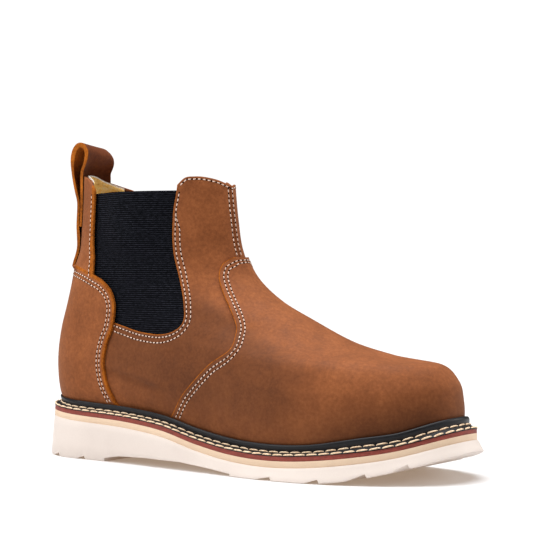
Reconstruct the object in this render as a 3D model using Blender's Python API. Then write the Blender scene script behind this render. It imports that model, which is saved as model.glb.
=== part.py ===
"""Chelsea work boot: one right boot standing empty on its sole.

+X points to the toe, +Y to the inner side of the boot and +Z up, with the origin on the floor under
the middle of the sole. Sizes and tables are in millimetres and the meshes are made in metres.

The last is one function, last_point(turn, rise). A turn runs once round the boot, from the back of
the heel along the outer side to the toe and back along the inner side. A rise climbs ring by ring
from the feather line on the sole to above the collar. Every leather piece is a skin lifted off that
function, so the pieces follow each other all over.
"""
from collections import namedtuple

import bmesh
import bpy
import numpy as np

MM = 0.001

# Leather, gaps and layers
GAP = 0.3
WALL = 2.2
LEATHER = 1.6
SKIVE = 0.55
SKIVE_RISE = 1.2
ELASTIC_SINK = 0.7
ELASTIC = 1.2
MIDSOLE = 3.0
SLIP_SOLE = 3.5
INSOLE = 4.0
INSOLE_CLEARANCE = 0.5

# Welt: a bead against the upper and a flange out to the sole's edge
WELT_HEEL = 8.4
WELT_TOE = 10.0
FLANGE = 1.0
Bead = namedtuple("Bead", "rise out")
BEAD = [Bead(0.34, 0), Bead(0.64, 0.1), Bead(0.74, 0.8), Bead(0.73, 1.7), Bead(0.6, 2.4), Bead(0.3, 2.7)]

# Outsole: flare of the side, tuck of its lower edge, toe spring
FLARE_HEEL = 2.0
FLARE_TOE = 3.8
EDGE_TUCK = 1.2
Wall = namedtuple("Wall", "share_down share_out")
SIDE_WALL = [Wall(0, 0.15), Wall(0.4, 0.55), Wall(0.82, 1)]
SPRING_START = 228.0
SPRING_LENGTH = 75.0
SPRING_HEIGHT = 17.0
SPRING_POWER = 1.65
LUG_DEPTH = 2.2
LUG_STEP = 1.5
CUT_BELOW = 4.0
CUT_SKIM = 0.05
CUT_HALF_WIDTH = 90.0

# Left and right curve of the last
TOE_SWING = 7.0
SWING_START = 190.0
SWING_END = 330.0
WAIST_SHIFT = -5.0
WAIST_AT = 128.0
WAIST_SPREAD = 48.0

# Pull loop
STRAP = 1.6
STRAP_TOP = 2.4
STRAP_HALF = 13.9
STRAP_FIRST_TURN = 0.07
STRAP_TRIES = 8
STRAP_ROLL = 0.12
STRAP_FLAT = 0.85
FREE_FROM = 180.5
FREE_AT = 195.0
LEG_LIFT = 2.9

# Points round a ring, and how far they are evened out between the ends and the sides
ROUND_COUNT = 56
EVENING = 0.35
PROBE = 1e-4
INNER_ROW_STEP = 3
HEIGHT_SAMPLES = 141
GORE_COLUMNS = 9
VAMP_COLUMNS = 25
COUNTER_COLUMNS = 17
BACK_STRIP_COLUMNS = 13
STRAP_COLUMNS = 7
SHARP_EDGE = np.radians(40)

Ring = namedtuple(
    "Ring", "back_x back_z front_x front_z bow heel waist ball cap_back cap_front nose")
LAST = [
    Ring(8.4, 33.6, 290.0, 26.4, 1.00, 27.3, 31.0, 42.8, 33, 90, 2.15),
    Ring(5.5, 42.0, 290.9, 34.0, 0.95, 29.6, 33.5, 45.0, 35, 90, 2.15),
    Ring(3.7, 54.0, 290.6, 44.5, 0.80, 31.0, 35.5, 46.0, 37, 97, 2.15),
    Ring(3.7, 67.0, 288.3, 55.3, 0.60, 31.3, 36.5, 45.2, 38, 108, 2.15),
    Ring(6.0, 82.0, 278.8, 65.2, 0.40, 30.5, 36.3, 43.2, 38, 130, 2.15),
    Ring(9.9, 97.0, 255.0, 68.2, 0.20, 29.0, 35.5, 41.0, 38, 160, 2.10),
    Ring(13.1, 110.0, 226.5, 74.6, 0.10, 27.5, 35.0, 38.6, 36, 165, 2.05),
    Ring(15.5, 122.0, 197.2, 86.1, 0.00, 26.0, 34.6, 36.8, 35, 146, 2.00),
    Ring(19.2, 133.0, 172.8, 97.8, 0.00, 23.5, 34.0, 35.4, 34, 122, 1.90),
    Ring(20.0, 143.0, 153.5, 113.0, 0.00, 21.8, 33.4, 34.4, 33, 94, 1.78),
    Ring(20.3, 154.0, 143.6, 131.0, 0.00, 20.4, 33.0, 33.6, 32, 70, 1.66),
    Ring(20.5, 166.0, 139.8, 151.0, 0.00, 19.2, 32.6, 33.0, 30, 56, 1.60),
    Ring(20.7, 182.0, 137.4, 174.0, 0.00, 18.5, 32.4, 32.6, 28, 51, 1.60),
    Ring(20.9, 196.0, 136.8, 194.0, 0.00, 18.2, 32.4, 32.6, 28, 51, 1.60),
]
TOP_RISE = len(LAST) - 1
SHAFT_RISE = 6.0
# Where along a ring its heel, waist and ball half-widths are measured
WIDTH_REACH = (0.0, 0.15, 0.43, 0.68, 1.0)

# Rows of points up the upper, closer together over the roll of the toe
BODY_RISES = (0, 0.6, 1.2, 1.8, 2.4, 3, 3.4, 3.75, 4.08, 4.4, 4.9, 5.6, 6.4, 7.12, 7.9, 8.5, 9.1,
              9.65, 10.4, 11.2)

# Underside of the midsole along the boot
Station = namedtuple("Station", "x z")
SOLE_LINE = [
    Station(0, 30.2), Station(45, 27.5), Station(88, 25.5), Station(116, 22.6), Station(144, 16.6),
    Station(171, 12.6), Station(200, 11.3), Station(225, 12.4), Station(250, 15.2),
    Station(275, 19.7), Station(300, 27.6),
]

# Panel edges: a rise, and how far along the ring from heel (0) to toe (1) the edge lies there
Edge = namedtuple("Edge", "rise reach")
VAMP_EDGE = [
    Edge(0.0, 0.372), Edge(0.86, 0.402), Edge(2.2, 0.447), Edge(3.6, 0.524), Edge(4.49, 0.605),
    Edge(5.47, 0.667), Edge(6.3, 0.727), Edge(7.6, 0.806), Edge(8.31, 0.847), Edge(9.01, 0.891),
    Edge(9.42, 0.925), Edge(9.73, 0.986),
]
COUNTER_EDGE = [
    Edge(0.0, 0.247), Edge(0.73, 0.226), Edge(1.23, 0.219), Edge(1.73, 0.210), Edge(2.7, 0.202),
    Edge(3.3, 0.204), Edge(3.8, 0.211), Edge(4.3, 0.224), Edge(4.84, 0.234), Edge(5.45, 0.246),
    Edge(6.0, 0.254), Edge(6.5, 0.252), Edge(6.87, 0.225), Edge(7.05, 0.181), Edge(7.17, 0.125),
]
BACK_STRIP_EDGE = [
    Edge(7.22, 0.174), Edge(8.55, 0.172), Edge(9.55, 0.178), Edge(10.6, 0.183), Edge(11.3, 0.185),
]

# Gore cut-out: its rear edge runs under the counter and the back strip
Cutout = namedtuple("Cutout", "rise rear front")
GORE_CUTOUT = [
    Cutout(4.52, 0.318, 0.352), Cutout(4.57, 0.285, 0.384), Cutout(4.65, 0.257, 0.402),
    Cutout(4.76, 0.230, 0.419), Cutout(5.05, 0.222, 0.455), Cutout(5.42, 0.214, 0.488),
    Cutout(5.93, 0.205, 0.525), Cutout(6.95, 0.165, 0.590), Cutout(8.01, 0.155, 0.650),
    Cutout(8.95, 0.155, 0.700), Cutout(9.55, 0.155, 0.718), Cutout(10.25, 0.155, 0.738),
    Cutout(11.05, 0.155, 0.760), Cutout(11.62, 0.155, 0.784), Cutout(12.80, 0.155, 0.815),
]
GORE_TOP = 169.0
GORE_INSET = 0.001
GORE_FOOT_INSET = 0.03
CUT_REACH = 5.0
CUT_UNDER = 1.0
BELOW_SOLE = -0.3
ABOVE_COLLAR = 12.9

# Height of the collar's edge round the ring
Collar = namedtuple("Collar", "reach z")
COLLAR = [
    Collar(0.0, 181.5), Collar(0.06, 180.5), Collar(0.12, 177.5), Collar(0.161, 174.0),
    Collar(0.19, 170.5), Collar(0.5, 170.0), Collar(0.775, 170.5), Collar(0.801, 173.8),
    Collar(0.822, 176.3), Collar(0.872, 177.6), Collar(0.925, 177.0), Collar(0.973, 174.8),
    Collar(1.0, 172.2),
]

# Arch and lug grooves cut up into the outsole, as side outlines in x and z
ARCH = [
    Station(66.0, -4), Station(66.5, 2.2), Station(80, 4.2), Station(102, 5.0), Station(133, 5.0),
    Station(155, 3.4), Station(174.5, 1.5), Station(175.0, -4),
]
Groove = namedtuple("Groove", "x length")
GROOVES = [
    Groove(16, 9), Groove(41, 9), Groove(192.5, 13.5), Groove(226, 10.5), Groove(250.5, 12), Groove(273, 10),
]

# Pull loop's path at the back: inward from the last's surface, and height
Fold = namedtuple("Fold", "inward z")
LOOP = [
    Fold(-2.9, 125.5), Fold(-3.5, 137), Fold(-4.8, 149), Fold(-4.8, 161.5), Fold(-5.2, 166.2),
    Fold(-6.5, 171.4), Fold(-7.9, 177.9), Fold(-9.0, 184.5), Fold(-9.5, 190.3), Fold(-8.5, 195.9),
    Fold(-6.4, 199.4), Fold(-4.3, 200.3), Fold(-2.0, 199.1), Fold(0.1, 196.1), Fold(0.4, 192.6),
    Fold(-0.9, 188.5), Fold(-2.7, 184.5), Fold(-3.0, 180), Fold(-2.9, 171), Fold(-2.9, 149),
]

Finish = namedtuple("Finish", "colour roughness")
BROWN = Finish((0.30, 0.115, 0.045), 0.75)
DARK_BROWN = Finish((0.17, 0.065, 0.028), 0.75)
LINING = Finish((0.62, 0.40, 0.14), 0.85)
BLACK_ELASTIC = Finish((0.012, 0.013, 0.018), 0.9)
BLACK_WELT = Finish((0.014, 0.013, 0.013), 0.5)
RED_LEATHER = Finish((0.16, 0.028, 0.018), 0.6)
TAN_RUBBER = Finish((0.66, 0.46, 0.30), 0.65)
CREAM_RUBBER = Finish((0.82, 0.70, 0.55), 0.6)


def clear_scene():
    for item in list(bpy.data.objects):
        bpy.data.objects.remove(item, do_unlink=True)


def smooth_through(knots, values, at):
    """Smooth curve through the values at the knots, carried on straight beyond the ends."""
    knots, values, at = (np.asarray(part, float) for part in (knots, values, at))
    step = np.diff(knots)
    slope = np.diff(values) / step
    tangent = np.empty_like(values)
    tangent[0], tangent[-1] = slope[0], slope[-1]
    tangent[1:-1] = (slope[:-1] * step[1:] + slope[1:] * step[:-1]) / (step[1:] + step[:-1])
    i = np.clip(np.searchsorted(knots, at, side="right") - 1, 0, len(knots) - 2)
    along = (at - knots[i]) / step[i]
    q = np.clip(along, 0, 1)
    start = (1 - q) ** 2 * ((1 + 2 * q) * values[i] + q * step[i] * tangent[i])
    end = q ** 2 * ((3 - 2 * q) * values[i + 1] + (q - 1) * step[i] * tangent[i + 1])
    before = np.minimum(along, 0) * step[i] * tangent[i]
    after = np.maximum(along - 1, 0) * step[i] * tangent[i + 1]
    return start + end + before + after


def ramp(start, end, at):
    q = np.clip((np.asarray(at, float) - start) / (end - start), 0, 1)
    return q * q * (3 - 2 * q)


def table_value(table, key, column, at):
    """A table's column, smoothed between its rows."""
    return smooth_through([getattr(row, key) for row in table],
                          [getattr(row, column) for row in table], at)


def ring_value(column, rise):
    return smooth_through(range(len(LAST)), [getattr(ring, column) for ring in LAST], rise)


def sole_top(x):
    return table_value(SOLE_LINE, "x", "z", x) + MIDSOLE


def sole_bow(x):
    """How far the sole's top dips below a straight line from heel to toe."""
    first = LAST[0]
    share = (x - first.back_x) / (first.front_x - first.back_x)
    return sole_top(x) + GAP - (first.back_z + (first.front_z - first.back_z) * share)


def centre_line(x, waist_share):
    waist = np.exp(-((x - WAIST_AT) / WAIST_SPREAD) ** 2)
    return TOE_SWING * ramp(SWING_START, SWING_END, x) + waist_share * WAIST_SHIFT * waist


def half_width(reach, rise):
    heel, waist, ball = (ring_value(column, rise) for column in ("heel", "waist", "ball"))
    total = 0
    for place, width in enumerate((heel, heel, waist, ball, ball)):
        weight = np.zeros(len(WIDTH_REACH))
        weight[place] = 1
        total = total + width * smooth_through(WIDTH_REACH, weight, reach)
    return total


def last_point(turn, rise):
    """The last's surface: each ring is a tilted loop with a round heel and a tapered front."""
    turn, rise = np.broadcast_arrays(np.asarray(turn, float), np.asarray(rise, float))
    angle = 2 * np.pi * turn
    reach = (1 - np.cos(angle)) / 2
    side = np.where(np.sin(angle) >= 0, -1.0, 1.0)
    back_x, front_x = ring_value("back_x", rise), ring_value("front_x", rise)
    back_z, front_z = ring_value("back_z", rise), ring_value("front_z", rise)
    bow, nose = ring_value("bow", rise), ring_value("nose", rise)
    x = back_x + (front_x - back_x) * reach
    z = back_z + (front_z - back_z) * reach + bow * sole_bow(x)
    heel_end = np.clip(1 - (x - back_x) / ring_value("cap_back", rise), 0, 1)
    toe_end = np.clip(1 - (front_x - x) / ring_value("cap_front", rise), 0, 1)
    closing = np.sqrt(1 - heel_end ** 2) * (1 - toe_end ** nose) ** (1 / nose)
    y = centre_line(x, bow) + side * half_width(reach, rise) * closing
    return np.stack([x, y, z], -1)


def outward(turn, rise):
    along = last_point(np.asarray(turn) + PROBE, rise) - last_point(np.asarray(turn) - PROBE, rise)
    up = last_point(turn, np.asarray(rise) + PROBE) - last_point(turn, np.asarray(rise) - PROBE)
    normal = np.cross(along, up)
    return normal / np.linalg.norm(normal, axis=-1, keepdims=True)


def skin(turn, rise, lift):
    return last_point(turn, rise) + outward(turn, rise) * np.asarray(lift)[..., None]


def turn_at(reach):
    """Turn on the outer side at which a ring has run this share of its length."""
    return np.arccos(1 - 2 * np.asarray(reach, float)) / (2 * np.pi)


def reach_at(turn):
    return (1 - np.cos(2 * np.pi * np.asarray(turn))) / 2


def turns_round():
    even = np.arange(ROUND_COUNT) / ROUND_COUNT
    return even + EVENING * np.sin(4 * np.pi * even) / (4 * np.pi)


def rise_at_height(turn, height):
    """Ring number at which the shaft reaches a height, for one turn and height or for many."""
    rises = np.linspace(SHAFT_RISE, TOP_RISE, HEIGHT_SAMPLES)
    turn, height = np.broadcast_arrays(np.asarray(turn, float), np.asarray(height, float))
    found = [np.interp(h, last_point(t, rises)[:, 2], rises)
             for t, h in zip(turn.ravel(), height.ravel())]
    return np.reshape(found, turn.shape)


def collar_rise(turn):
    reach = reach_at(turn)
    height = np.interp(reach, [row.reach for row in COLLAR], [row.z for row in COLLAR])
    return rise_at_height(turn, height)


def overlay_top(rise):
    """Lift of an overlay's face, thinned where it is lasted under at the feather line."""
    return GAP + LEATHER * (SKIVE + (1 - SKIVE) * ramp(0, SKIVE_RISE, rise))


def welt_width(turn):
    return WELT_HEEL + (WELT_TOE - WELT_HEEL) * reach_at(turn)


def side_flare(turn):
    return FLARE_HEEL + (FLARE_TOE - FLARE_HEEL) * reach_at(turn)


def sole_edge(turn, out):
    """The feather line moved outward on the flat, the outline of every layer of the sole."""
    flat = outward(turn, 0) * (1, 1, 0)
    flat = flat / np.linalg.norm(flat, axis=-1, keepdims=True)
    return last_point(turn, 0) + flat * np.asarray(out)[..., None]


def frame_origin():
    turns = turns_round()
    edge = sole_edge(turns, welt_width(turns) + side_flare(turns))
    middle = (edge.min(axis=0) + edge.max(axis=0)) / 2
    return middle * (1, 1, 0)


ORIGIN = frame_origin()


def leather_material(name, finish):
    material = bpy.data.materials.new(name)
    material.use_nodes = True
    shader = material.node_tree.nodes["Principled BSDF"]
    shader.inputs["Base Color"].default_value = (*finish.colour, 1)
    shader.inputs["Roughness"].default_value = finish.roughness
    shader.inputs["Metallic"].default_value = 0
    return material


def new_piece(name, points, faces, finish):
    mesh = bpy.data.meshes.new(name)
    mesh.from_pydata(((np.asarray(points) - ORIGIN) * MM).tolist(), [], faces)
    work = bmesh.new()
    work.from_mesh(mesh)
    bmesh.ops.recalc_face_normals(work, faces=work.faces)
    work.to_mesh(mesh)
    work.free()
    mesh.shade_smooth()
    mesh.set_sharp_from_angle(angle=SHARP_EDGE)
    mesh.materials.append(leather_material(name, finish))
    piece = bpy.data.objects.new(name, mesh)
    bpy.context.collection.objects.link(piece)
    return piece


def grid_faces(rows, columns, first, wrap, flip):
    faces = []
    for i in range(rows - 1):
        for j in range(columns if wrap else columns - 1):
            k = (j + 1) % columns
            quad = [first + i * columns + j, first + i * columns + k,
                    first + (i + 1) * columns + k, first + (i + 1) * columns + j]
            faces.append(quad[::-1] if flip else quad)
    return faces


def rim_faces(low, high, wrap):
    """Strip that joins two matching lines of points."""
    count = len(low)
    turns = range(count if wrap else count - 1)
    return [[low[j], low[(j + 1) % count], high[(j + 1) % count], high[j]] for j in turns]


def skin_solid(name, low, high, wrap, finish):
    """Solid between two skins. Each skin is an array of rows of points, with as many in each row."""
    low_rows, columns = low.shape[:2]
    high_rows = high.shape[0]
    points = np.concatenate([low.reshape(-1, 3), high.reshape(-1, 3)])
    low_index = np.arange(low_rows * columns).reshape(low_rows, columns)
    high_index = low_rows * columns + np.arange(high_rows * columns).reshape(high_rows, columns)
    faces = grid_faces(low_rows, columns, 0, wrap, True)
    faces += grid_faces(high_rows, columns, low_rows * columns, wrap, False)
    faces += rim_faces(low_index[0].tolist(), high_index[0].tolist(), wrap)
    faces += rim_faces(high_index[-1].tolist(), low_index[-1].tolist(), wrap)
    if not wrap:
        faces += rim_faces(high_index[:, 0].tolist(), low_index[:, 0].tolist(), False)
        faces += rim_faces(low_index[:, -1].tolist(), high_index[:, -1].tolist(), False)
    return new_piece(name, points, faces, finish)


def panel_grid(rises, near, far, columns):
    """Turns and rises of a panel whose rows run from one edge to the other."""
    across = np.linspace(0, 1, columns)
    turns = near[:, None] + (far - near)[:, None] * across
    return turns, np.broadcast_to(np.asarray(rises, float)[:, None], turns.shape)


def seated(points):
    """A skin with its lowest row level with the feather line, just clear of the sole."""
    points[0, :, 2] = np.maximum(points[0, :, 2], sole_top(points[0, :, 0]) + GAP)
    return points


def panel(name, turns, rises, low, high, finish):
    low, high = seated(skin(turns, rises, low)), seated(skin(turns, rises, high))
    return skin_solid(name, low, high, False, finish)


def mark_as_cutter(cutter):
    cutter.hide_render = True
    cutter.hide_set(True)
    cutter.display_type = "WIRE"


def combine(piece, cutter, operation):
    mark_as_cutter(cutter)
    cut = piece.modifiers.new("cut_" + cutter.name, "BOOLEAN")
    cut.operation = operation
    cut.solver = "EXACT"
    cut.object = cutter


def cutout_turns(rises, inset, side):
    """Rear and front turns of a gore cut-out, on the outer (+1) or inner (-1) side."""
    rear = turn_at(table_value(GORE_CUTOUT, "rise", "rear", rises)) + inset
    front = turn_at(table_value(GORE_CUTOUT, "rise", "front", rises)) - inset
    return (rear, front) if side > 0 else (1 - front, 1 - rear)


def gore_cutter(name, side):
    rises = np.array([row.rise for row in GORE_CUTOUT])
    turns, rows = panel_grid(rises, *cutout_turns(rises, 0, side), GORE_COLUMNS)
    return panel(name, turns, rows, np.full(rows.shape, -CUT_REACH), np.full(rows.shape, CUT_REACH),
                 LINING)


def upper_rises(turns):
    """Rows of the upper's own grid, from the feather line to the collar's edge."""
    rows = [np.full(turns.shape, rise) for rise in BODY_RISES]
    return np.array(rows + [collar_rise(turns)])


def make_upper():
    turns = turns_round()
    outer = upper_rises(turns)
    inner = np.concatenate([outer[:-1:INNER_ROW_STEP], outer[-1:]])
    high = seated(skin(turns, outer, np.zeros(1)))
    low = seated(skin(turns, inner, np.full(1, -WALL)))
    upper = skin_solid("upper", low, high, True, BROWN)
    for side, name in ((1, "gore_cut_outer"), (-1, "gore_cut_inner")):
        combine(upper, gore_cutter(name, side), "DIFFERENCE")


def make_overlay(name, turns, rises, finish):
    """Overlay cut from a second skin all over the upper, by a thick panel of the overlay's outline."""
    round_turns = turns_round()
    rows = upper_rises(round_turns)
    low = seated(skin(round_turns, rows, np.full(rows.shape, GAP)))
    high = seated(skin(round_turns, rows, overlay_top(rows)))
    overlay = skin_solid(name, low, high, True, finish)
    outline = panel(name + "_outline", turns, rises, np.full(rises.shape, -CUT_UNDER),
                    np.full(rises.shape, CUT_REACH), finish)
    combine(overlay, outline, "INTERSECT")


def make_vamp():
    rises = np.array([BELOW_SOLE] + [edge.rise for edge in VAMP_EDGE[1:]])
    near = turn_at(table_value(VAMP_EDGE, "rise", "reach", rises))
    make_overlay("vamp", *panel_grid(rises, near, 1 - near, VAMP_COLUMNS), BROWN)


def make_counter():
    rises = np.array([BELOW_SOLE] + [edge.rise for edge in COUNTER_EDGE[1:]])
    far = turn_at(table_value(COUNTER_EDGE, "rise", "reach", rises))
    make_overlay("counter", *panel_grid(rises, -far, far, COUNTER_COLUMNS), BROWN)


def make_back_strip():
    rises = np.array([edge.rise for edge in BACK_STRIP_EDGE] + [ABOVE_COLLAR])
    far = turn_at(table_value(BACK_STRIP_EDGE, "rise", "reach", rises))
    make_overlay("back_strip", *panel_grid(rises, -far, far, BACK_STRIP_COLUMNS), DARK_BROWN)


def make_gore(name, side):
    rises = np.array([row.rise for row in GORE_CUTOUT[:-1]])
    turns, rows = panel_grid(rises, *cutout_turns(rises, GORE_INSET, side), GORE_COLUMNS)
    rows = rows.copy()
    rows[0] += GORE_FOOT_INSET
    rows[-1] = rise_at_height(turns[-1], GORE_TOP)
    panel(name, turns, rows, np.full(rows.shape, -ELASTIC_SINK - ELASTIC),
          np.full(rows.shape, -ELASTIC_SINK), BLACK_ELASTIC)


def strap_half_turn(rise, lift):
    """Turn at which a lifted skin lies half the strap's width off the middle of the back."""
    turn = np.full(rise.shape, STRAP_FIRST_TURN)
    for _ in range(STRAP_TRIES):
        turn = turn * STRAP_HALF / -skin(turn, rise, lift)[..., 1]
    return turn


def loop_point(share, inward, height):
    """Point of the pull loop: its legs follow the back of the boot and its top stands clear."""
    rise = rise_at_height(np.zeros_like(height), np.minimum(height, LAST[-1].back_z))
    lift = np.maximum(-inward, LEG_LIFT)
    half_turn = strap_half_turn(rise, lift)
    point = skin(share * half_turn, rise, lift)
    edge = skin(half_turn, rise, lift)
    above = height - last_point(np.zeros_like(height), rise)[..., 2]
    free = ramp(FREE_FROM, FREE_AT, height)
    point[..., 0] += np.maximum(inward + LEG_LIFT, 0) + STRAP_FLAT * free * (edge - point)[..., 0]
    point[..., 2] += above - STRAP_ROLL * free * point[..., 1]
    return point


def make_pull_loop():
    along = np.linspace(0, len(LOOP) - 1, 2 * len(LOOP) - 1)
    inward = smooth_through(range(len(LOOP)), [fold.inward for fold in LOOP], along)
    height = smooth_through(range(len(LOOP)), [fold.z for fold in LOOP], along)
    run = np.stack([np.gradient(inward), np.gradient(height)], -1)
    run /= np.linalg.norm(run, axis=-1, keepdims=True)
    half = (STRAP + (STRAP_TOP - STRAP) * ramp(FREE_FROM, FREE_AT, height)) / 2
    shares = np.linspace(-1, 1, STRAP_COLUMNS)[None, :]
    faces = []
    for side in (1, -1):
        side_in = (inward + side * half * run[:, 1])[:, None] + 0 * shares
        side_up = (height - side * half * run[:, 0])[:, None] + 0 * shares
        faces.append(loop_point(shares + 0 * side_in, side_in, side_up))
    skin_solid("pull_loop", faces[0], faces[1], False, DARK_BROWN)


def ladder_faces(ring, flip):
    """Cap of a ring of points, rung by rung between the outer and the inner side."""
    count = len(ring)
    half = count // 2
    faces = []
    for k in range(half):
        rung = [ring[k], ring[k + 1], ring[(count - k - 1) % count], ring[(count - k) % count]]
        corners = list(dict.fromkeys(rung))
        faces.append(corners[::-1] if flip else corners)
    return faces


def sole_layer(name, levels, finish):
    """Solid of the sole from rings of points, listed from its top to its underside."""
    count = len(levels[0])
    points = np.concatenate(levels)
    rings = np.arange(len(points)).reshape(len(levels), count)
    faces = []
    for upper_ring, lower_ring in zip(rings[:-1].tolist(), rings[1:].tolist()):
        faces += rim_faces(lower_ring, upper_ring, True)
    faces += ladder_faces(rings[0].tolist(), True)
    faces += ladder_faces(rings[-1].tolist(), False)
    return new_piece(name, points, faces, finish)


def level(turns, out, drop):
    """Ring of a sole layer at a distance below the top of the midsole."""
    ring = sole_edge(turns, out)
    ring[:, 2] = sole_top(ring[:, 0]) - drop
    return ring


def make_flat_layer(name, out, top_drop, thickness, finish):
    turns = turns_round()
    levels = [level(turns, out, top_drop), level(turns, out, top_drop + thickness)]
    sole_layer(name, levels, finish)


def make_welt():
    turns = turns_round()
    edge = welt_width(turns)
    section = [level(turns, np.full(turns.shape, overlay_top(0) + GAP), -GAP)]
    for bead in BEAD:
        lift = overlay_top(bead.rise) + GAP + bead.out
        section.append(skin(turns, np.full(turns.shape, bead.rise), lift))
    section += [level(turns, edge, -GAP - FLANGE), level(turns, edge, -GAP)]
    points = np.concatenate(section)
    rings = np.arange(len(points)).reshape(len(section), len(turns)).tolist()
    faces = []
    for inner, outer in zip(rings, rings[1:] + rings[:1]):
        faces += rim_faces(inner, outer, True)
    new_piece("welt", points, faces, BLACK_WELT)


def outsole_bottom(x):
    return SPRING_HEIGHT * np.maximum((x - SPRING_START) / SPRING_LENGTH, 0) ** SPRING_POWER


def prism_across(name, outline):
    """Cutter with a side outline of stations, running across the whole sole."""
    near = [(station.x, -CUT_HALF_WIDTH, station.z) for station in outline]
    far = [(station.x, CUT_HALF_WIDTH, station.z) for station in outline]
    count = len(outline)
    faces = [list(range(count)), list(range(2 * count - 1, count - 1, -1))]
    faces += rim_faces(list(range(count)), list(range(count, 2 * count)), True)
    return new_piece(name, near + far, faces, CREAM_RUBBER)


def groove_outline(groove):
    """Saw-tooth groove: a long ramp up from the rear and a short step down at the front."""
    end = groove.x + groove.length
    rear_floor, front_floor = outsole_bottom(groove.x), outsole_bottom(end)
    return [Station(groove.x - CUT_BELOW, rear_floor - CUT_BELOW), Station(groove.x, rear_floor - CUT_SKIM),
            Station(end - LUG_STEP, front_floor + LUG_DEPTH), Station(end, front_floor - CUT_SKIM),
            Station(end + CUT_SKIM, rear_floor - CUT_BELOW)]


def make_outsole():
    turns = turns_round()
    drop = GAP + MIDSOLE + SLIP_SOLE + GAP
    edge, flare = welt_width(turns), side_flare(turns)
    walls = [(wall.share_down, wall.share_out * flare) for wall in SIDE_WALL] + [(1, flare - EDGE_TUCK)]
    levels = []
    for share_down, out in walls:
        ring = sole_edge(turns, edge + out)
        top = sole_top(ring[:, 0]) - drop
        ring[:, 2] = top + share_down * (outsole_bottom(ring[:, 0]) - top)
        levels.append(ring)
    outsole = sole_layer("outsole", levels, CREAM_RUBBER)
    combine(outsole, prism_across("arch_cut", ARCH), "DIFFERENCE")
    for number, groove in enumerate(GROOVES):
        cutter = prism_across("groove_cut_%d" % number, groove_outline(groove))
        combine(outsole, cutter, "DIFFERENCE")


def main():
    clear_scene()
    turns = turns_round()
    make_outsole()
    make_flat_layer("slip_sole", welt_width(turns), GAP + MIDSOLE, SLIP_SOLE, TAN_RUBBER)
    make_flat_layer("midsole", welt_width(turns), 0, MIDSOLE, RED_LEATHER)
    make_welt()
    inside = np.full(turns.shape, -WALL - INSOLE_CLEARANCE)
    make_flat_layer("insole", inside, -GAP - INSOLE, INSOLE, LINING)
    make_upper()
    make_vamp()
    make_counter()
    make_back_strip()
    make_gore("gore_outer", 1)
    make_gore("gore_inner", -1)
    make_pull_loop()


main()
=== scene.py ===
"""Looks of the chelsea work boot: its leather panels, seams, elastic, welt threads and sole.

Tables and lifts are in millimetres, on the same last as the solids, and meshes are in metres. A turn
runs round the boot from the back of the heel along the outer side to the toe and back along the inner
side, and a rise climbs ring by ring from the feather line on the sole to above the collar.
"""
from collections import namedtuple

import bmesh
import bpy
import numpy as np
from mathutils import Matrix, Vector


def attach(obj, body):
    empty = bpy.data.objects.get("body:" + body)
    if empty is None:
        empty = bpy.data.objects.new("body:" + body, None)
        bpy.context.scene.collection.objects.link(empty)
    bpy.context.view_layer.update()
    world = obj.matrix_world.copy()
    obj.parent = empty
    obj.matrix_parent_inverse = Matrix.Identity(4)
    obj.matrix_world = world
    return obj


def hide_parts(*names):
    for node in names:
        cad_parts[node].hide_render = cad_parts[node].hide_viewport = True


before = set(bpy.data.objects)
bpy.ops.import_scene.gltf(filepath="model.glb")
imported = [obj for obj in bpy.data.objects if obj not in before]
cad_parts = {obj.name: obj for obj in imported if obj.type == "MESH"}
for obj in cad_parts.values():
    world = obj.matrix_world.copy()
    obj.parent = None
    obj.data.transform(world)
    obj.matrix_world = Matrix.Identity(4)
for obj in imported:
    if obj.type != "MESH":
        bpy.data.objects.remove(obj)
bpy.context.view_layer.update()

MM = 0.001
# Where the model's origin lies in the tables
ORIGIN = np.array([150.9, 0.3073, 0.0])

# Leather, gaps and layers
GAP = 0.3
LEATHER = 1.6
SKIVE = 0.55
SKIVE_RISE = 1.2
QUARTER = 1.1
ELASTIC = 0.8
ELASTIC_SINK = 1.16
HEM = 0.18
LINING = 0.7
LINING_SINK = 1.5
LINING_SHORT = 0.03
LINING_STEP = 0.06
LINING_BEVEL = 0.15
SOCK_TOP = 3.72
SHAFT_FOOT = 3.76
STAY_SINK = 0.15
TAPE = 0.2
TAPE_SINK = 1.28
MIDSOLE = 3.0
SLIP_SOLE = 3.5
INSOLE = 4.0
INSOLE_INSET = -2.0

# Sole's outline and side
WELT_HEEL = 8.4
WELT_TOE = 10.0
FLANGE = 0.05
EDGE_SINK = 0.5
TOE_BEAD = 0.22
TOE_SINK = 0.3
FLARE_HEEL = 2.0
FLARE_TOE = 3.8
EDGE_TUCK = 0.5
SPRING_START = 228.0
SPRING_LENGTH = 75.0
SPRING_HEIGHT = 17.0
SPRING_POWER = 1.65
LUG_DEPTH = 2.2
LUG_STEP = 1.5
CUT_BELOW = 4.0
CUT_SKIM = 0.05
CUT_HALF_WIDTH = 90.0

# Left and right curve of the last
TOE_SWING = 7.0
SWING_START = 190.0
SWING_END = 330.0
WAIST_SHIFT = -5.0
WAIST_AT = 128.0
WAIST_SPREAD = 48.0

# Pull loop
STRAP = 1.6
STRAP_TOP = 2.4
STRAP_HALF = 13.9
STRAP_ROLL = 0.12
STRAP_FLAT = 0.85
STRAP_FIRST_TURN = 0.07
STRAP_TRIES = 8
FREE_FROM = 180.5
FREE_AT = 195.0
LEG_LIFT = 2.9
EYE_NAP = 0.7
FAR_DROOP = 2.0
FAR_TAPER = 0.12
FOOT_NAP = 0.5
FOOT_FROM = 150
FOOT_AT = 143

# Points round a ring, and how far they are evened out between the ends and the sides
ROUND_COUNT = 260
EVENING = 0.35
PROBE = 1e-4
SHAFT_RISE = 6.0
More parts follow.
